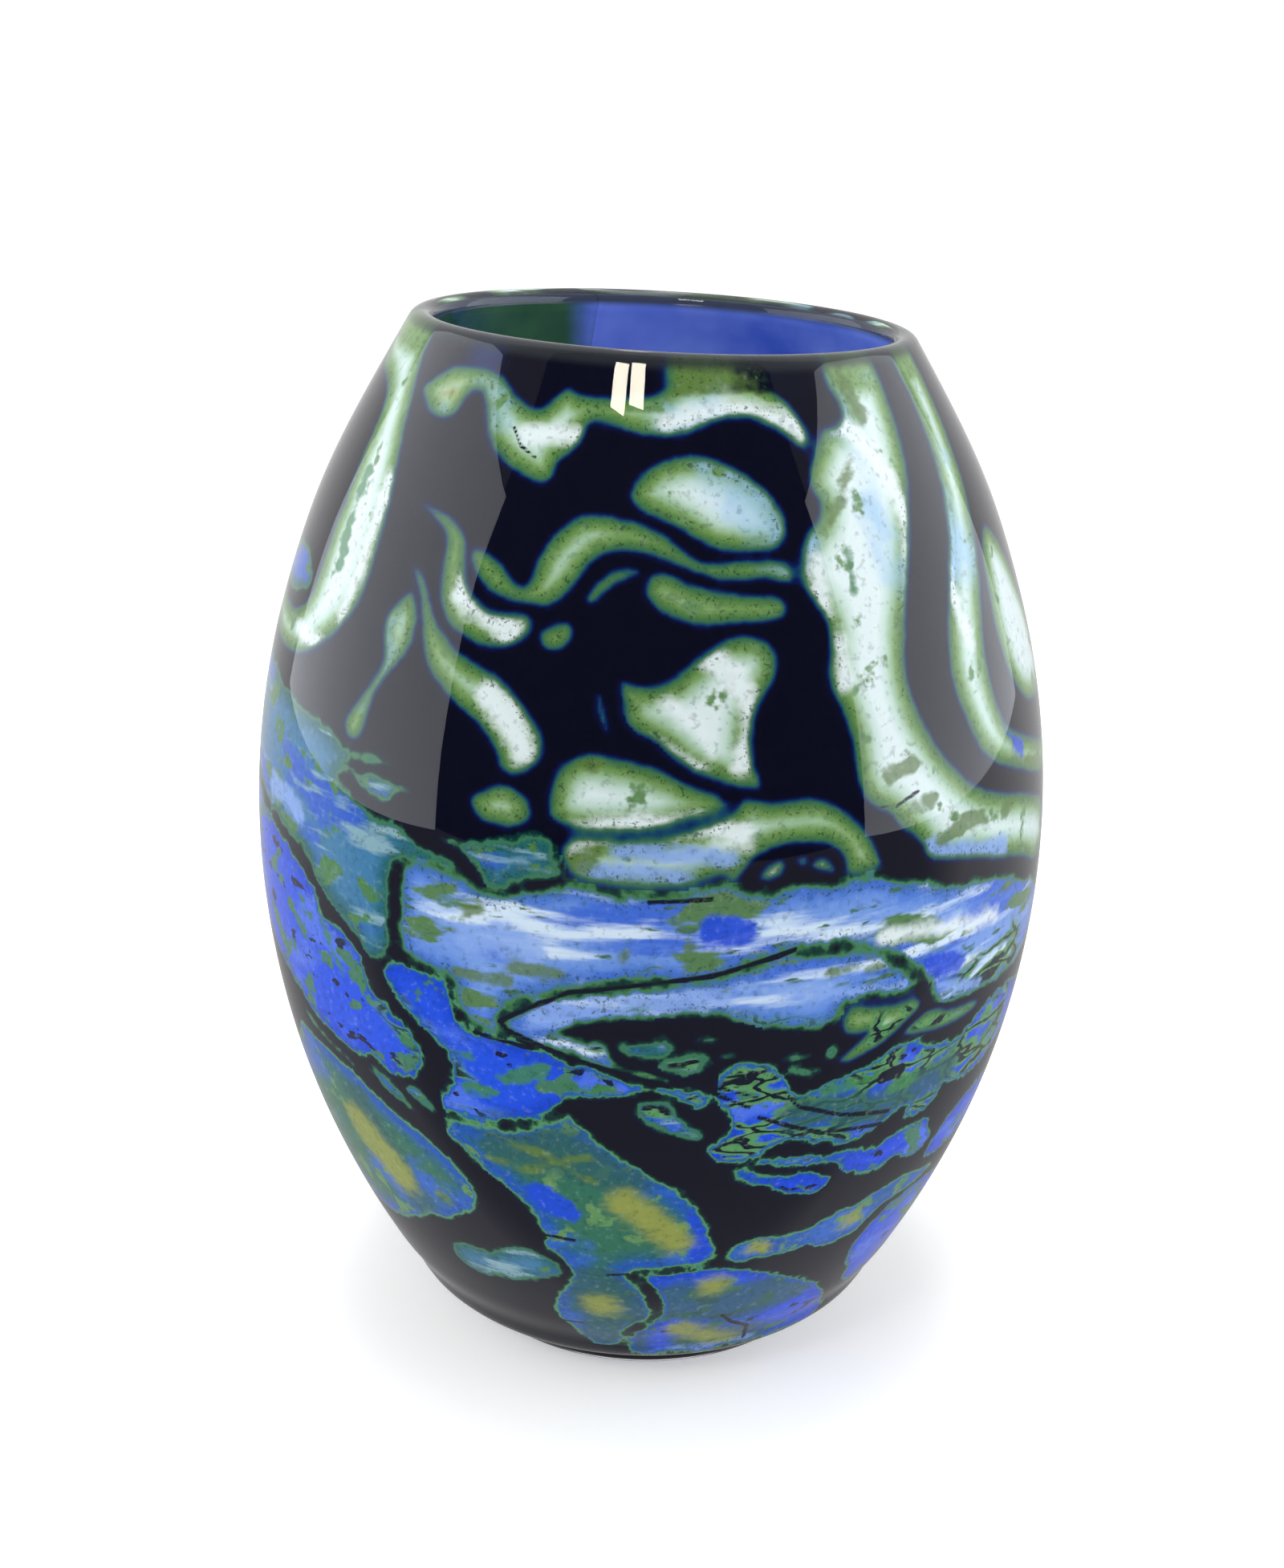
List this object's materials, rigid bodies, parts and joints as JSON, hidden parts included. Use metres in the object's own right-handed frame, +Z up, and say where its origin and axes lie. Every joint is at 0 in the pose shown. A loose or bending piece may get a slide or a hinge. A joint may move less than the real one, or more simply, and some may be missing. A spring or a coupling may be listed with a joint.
{
  "type": "blown art glass vase",
  "caption": "Free-standing blown glass vase: clear cased oviform body with a slanted rolled lip, coloured glass patches fused on a dark ground, two-colour lining.",
  "frame": {"origin": "centre of the flat base, on the surface the vase stands on", "axes": "+Z up along the body's axis, -Y towards the side that is seen from the front, +X to the viewer's right"},
  "size_m": [0.1936, 0.1935, 0.2537],
  "materials": {
    "clear_glass": "clear gloss, fire polished",
    "ground_glass": "near-black navy glass",
    "green_glass": "dark bottle-green glass",
    "blue_glass": "cobalt glass",
    "pale_glass": "white core with pale-green, teal and deep-blue edge bands",
    "sky_glass": "lilac-blue glass streaked with mint white and olive",
    "cobalt_glass": "cobalt glass with thin green edge lines",
    "cream_glass": "yellow-olive and cream glass with cobalt edges",
    "teal_glass": "teal glass with pale feathering"
  },
  "bodies": {
    "root": {"clear_casing": "clear_glass", "inlay_ribbon_top": "pale_glass", "inlay_oval_upper": "pale_glass", "inlay_ribbon_wave": "pale_glass", "inlay_ribbon_wave_low": "pale_glass", "inlay_drips_upper": "pale_glass", "inlay_bean_upper": "pale_glass", "inlay_drip_left": "pale_glass", "inlay_drip_centre": "pale_glass", "inlay_dot_left": "pale_glass", "inlay_butterfly": "pale_glass", "inlay_ribbon_left": "pale_glass", "inlay_tongue_left_edge": "teal_glass", "inlay_ribbon_right_inner": "pale_glass", "inlay_ribbon_right_outer": "pale_glass", "inlay_ribbon_right_edge": "pale_glass", "inlay_band_upper": "pale_glass", "inlay_band_nose": "pale_glass", "inlay_leaf_left": "teal_glass", "inlay_eye_slivers": "pale_glass", "inlay_belt": "sky_glass", "inlay_feather_left": "teal_glass", "inlay_cobalt_left": "cobalt_glass", "inlay_cobalt_centre": "cobalt_glass", "inlay_swoosh": "sky_glass", "inlay_flame_right": "pale_glass", "inlay_islands_pond": "teal_glass", "inlay_lens_right": "pale_glass", "inlay_cobalt_right": "cobalt_glass", "inlay_crescent_centre": "teal_glass", "inlay_ribbons_low": "cobalt_glass", "inlay_tongue_centre": "cream_glass", "inlay_tongue_left": "cream_glass", "inlay_cells_left": "teal_glass", "inlay_leaf_low_left": "teal_glass", "inlay_mass_low_right": "cobalt_glass", "inlay_leaf_low_right": "cream_glass", "inlay_leaf_far_right": "cobalt_glass", "inlay_leaf_mid_right": "cobalt_glass", "inlay_back_ribbon_top": "pale_glass", "inlay_back_oval_upper": "pale_glass", "inlay_back_ribbon_wave": "pale_glass", "inlay_back_ribbon_wave_low": "pale_glass", "inlay_back_butterfly": "pale_glass", "inlay_back_ribbon_left": "pale_glass", "inlay_back_ribbon_right_inner": "pale_glass", "inlay_back_ribbon_right_outer": "pale_glass", "inlay_back_band_nose": "pale_glass", "inlay_back_belt": "sky_glass", "inlay_back_feather_left": "teal_glass", "inlay_back_cobalt_left": "cobalt_glass", "inlay_back_cobalt_centre": "cobalt_glass", "inlay_back_cobalt_right": "cobalt_glass", "inlay_back_tongue_centre": "cream_glass", "inlay_back_tongue_left": "cream_glass", "dark_ground": "ground_glass", "lining_green": "green_glass", "lining_blue": "blue_glass"}
  },
  "joints": []
}
